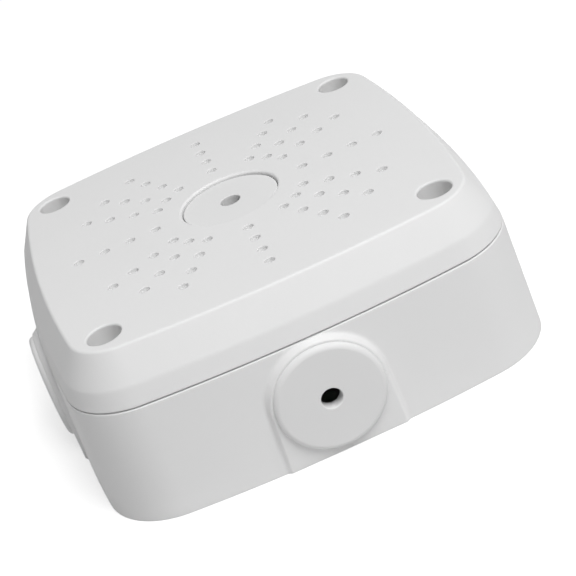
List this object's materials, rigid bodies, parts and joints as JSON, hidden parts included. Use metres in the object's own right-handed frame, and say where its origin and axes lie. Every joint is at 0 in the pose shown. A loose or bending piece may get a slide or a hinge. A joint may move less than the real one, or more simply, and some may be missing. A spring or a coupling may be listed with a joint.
{
  "type": "plastic junction box enclosure",
  "caption": "Square surface-mounted plastic box with a screwed cover drilled for a camera foot, and a rubber cable grommet in the cover and in the front.",
  "frame": {"origin": "centre of the flat back that goes against the wall", "axes": "+Z out of the wall through the cover's face, front side towards -Y, right side towards +X"},
  "size_m": [0.1156, 0.1173, 0.0428],
  "materials": {
    "housing_abs": "fine matt moulded ABS",
    "grommet_rubber": "soft matt white rubber",
    "seal_rubber": "black rubber",
    "screw_steel": "plain stainless steel"
  },
  "bodies": {
    "root": {"base": "housing_abs", "cover": "housing_abs", "cover_gasket": "seal_rubber", "cover_grommet": "grommet_rubber", "front_grommet": "grommet_rubber", "cover_screws": "screw_steel", "screw_seals": "seal_rubber"}
  },
  "joints": []
}
